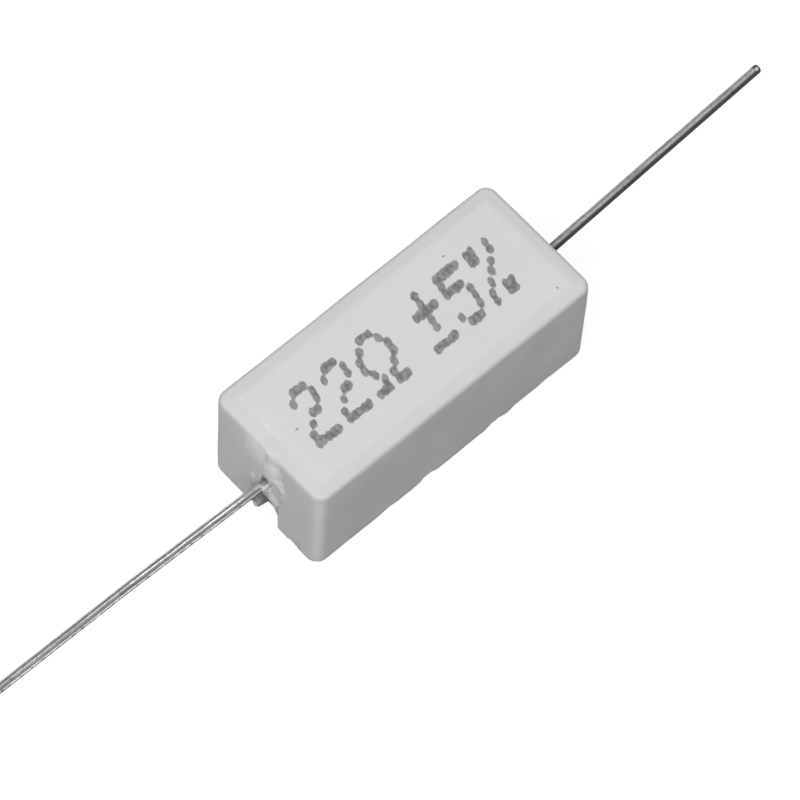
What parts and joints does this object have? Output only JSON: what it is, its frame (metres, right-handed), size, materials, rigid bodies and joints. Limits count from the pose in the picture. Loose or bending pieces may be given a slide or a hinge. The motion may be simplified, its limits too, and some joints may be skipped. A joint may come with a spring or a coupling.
{
  "type": "cement power resistor",
  "caption": "Wirewound power resistor sealed with cement in a rectangular ceramic boat, with a tinned wire lead out of each end.",
  "frame": {"origin": "centre of the case's open base, in the plane of the rim that it rests on", "axes": "+X along the body towards the far lead, whose tip the picture shows, +Z out of the printed face"},
  "size_m": [0.0628, 0.0094, 0.0088],
  "materials": {
    "case_ceramic": "satin",
    "cement": "matte",
    "rod_ceramic": "matte",
    "resistance_alloy": "satin",
    "cap_steel": "satin",
    "tinned_wire": "polished"
  },
  "bodies": {
    "root": {"ceramic_case": "case_ceramic", "cement_fill": "cement", "core_rod": "rod_ceramic", "resistance_wire": "resistance_alloy", "end_cap_near": "cap_steel", "end_cap_far": "cap_steel", "lead_near": "tinned_wire", "lead_far": "tinned_wire"}
  },
  "joints": []
}
